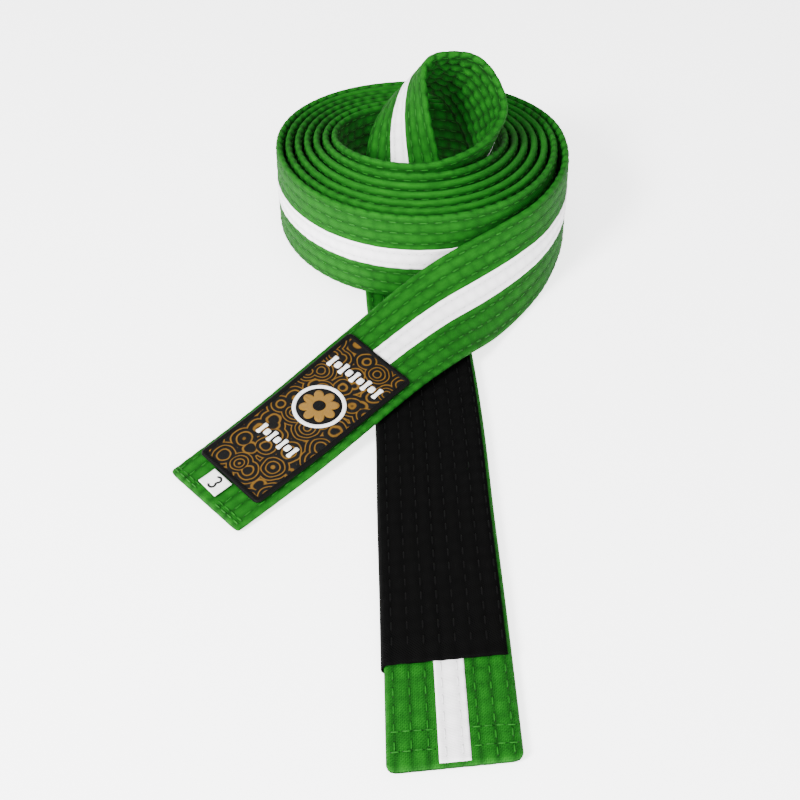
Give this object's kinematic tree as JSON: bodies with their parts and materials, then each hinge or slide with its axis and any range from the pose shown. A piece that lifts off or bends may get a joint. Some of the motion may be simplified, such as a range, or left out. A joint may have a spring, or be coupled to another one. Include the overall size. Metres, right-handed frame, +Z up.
{
  "type": "martial arts belt",
  "caption": "A padded cloth belt with a contrasting centre stripe, a black rank bar and a woven patch, stored as a standing coil with both ends laid out flat",
  "frame": {"origin": "middle of the underside of the box round the whole belt, on the surface it lies on", "axes": "+Z up; +Y from the barred tip towards the coil, along the longest side; +X to the right with the barred tip towards the viewer"},
  "size_m": [0.159, 0.3644, 0.078],
  "materials": {
    "strap_cloth": "matte woven cotton",
    "stripe_tape": "smooth twill tape",
    "green_thread": "spun thread",
    "white_thread": "spun thread",
    "black_cloth": "matte twill",
    "black_thread": "spun thread",
    "patch_cloth": "embroidered satin stitch",
    "patch_border": "overlocked edge",
    "gold_thread": "embroidered satin stitch",
    "patch_white": "embroidered satin stitch",
    "tag_cloth": "smooth woven label",
    "tag_print": "printed"
  },
  "bodies": {
    "belt": {"bar_end_cross_stitch_1": "green_thread", "bar_end_cross_stitch_2": "green_thread", "bar_stitch_row_1": "black_thread", "bar_stitch_row_2": "black_thread", "bar_stitch_row_3": "black_thread", "bar_stitch_row_4": "black_thread", "bar_stitch_row_5": "black_thread", "bar_stitch_row_6": "black_thread", "bar_stitch_row_7": "black_thread", "bar_stitch_row_8": "black_thread", "center_stripe": "stripe_tape", "patch_border_foot": "patch_border", "patch_border_head": "patch_border", "patch_border_left": "patch_border", "patch_border_right": "patch_border", "patch_end_cross_stitch_1": "green_thread", "patch_end_cross_stitch_2": "green_thread", "patch_foot_bar": "patch_white", "patch_ground": "patch_cloth", "patch_medallion": "gold_thread", "patch_medallion_ring": "patch_white", "patch_title_bar": "patch_white", "rank_bar": "black_cloth", "stitch_row_1": "green_thread", "stitch_row_2": "green_thread", "stitch_row_3": "green_thread", "stitch_row_4": "white_thread", "stitch_row_5": "white_thread", "stitch_row_6": "green_thread", "stitch_row_7": "green_thread", "stitch_row_8": "green_thread", "strap": "strap_cloth"},
    "tag": {"size_tag": "tag_cloth", "size_numeral": "tag_print"}
  },
  "joints": [
    {"name": "tag_flap", "type": "hinge", "parent": "belt", "child": "tag", "pos_m": [-0.0596, -0.0629, 0.00522], "axis": [-0.7164, 0.6975, 0.0198], "range_deg": [0, 85]}
  ]
}
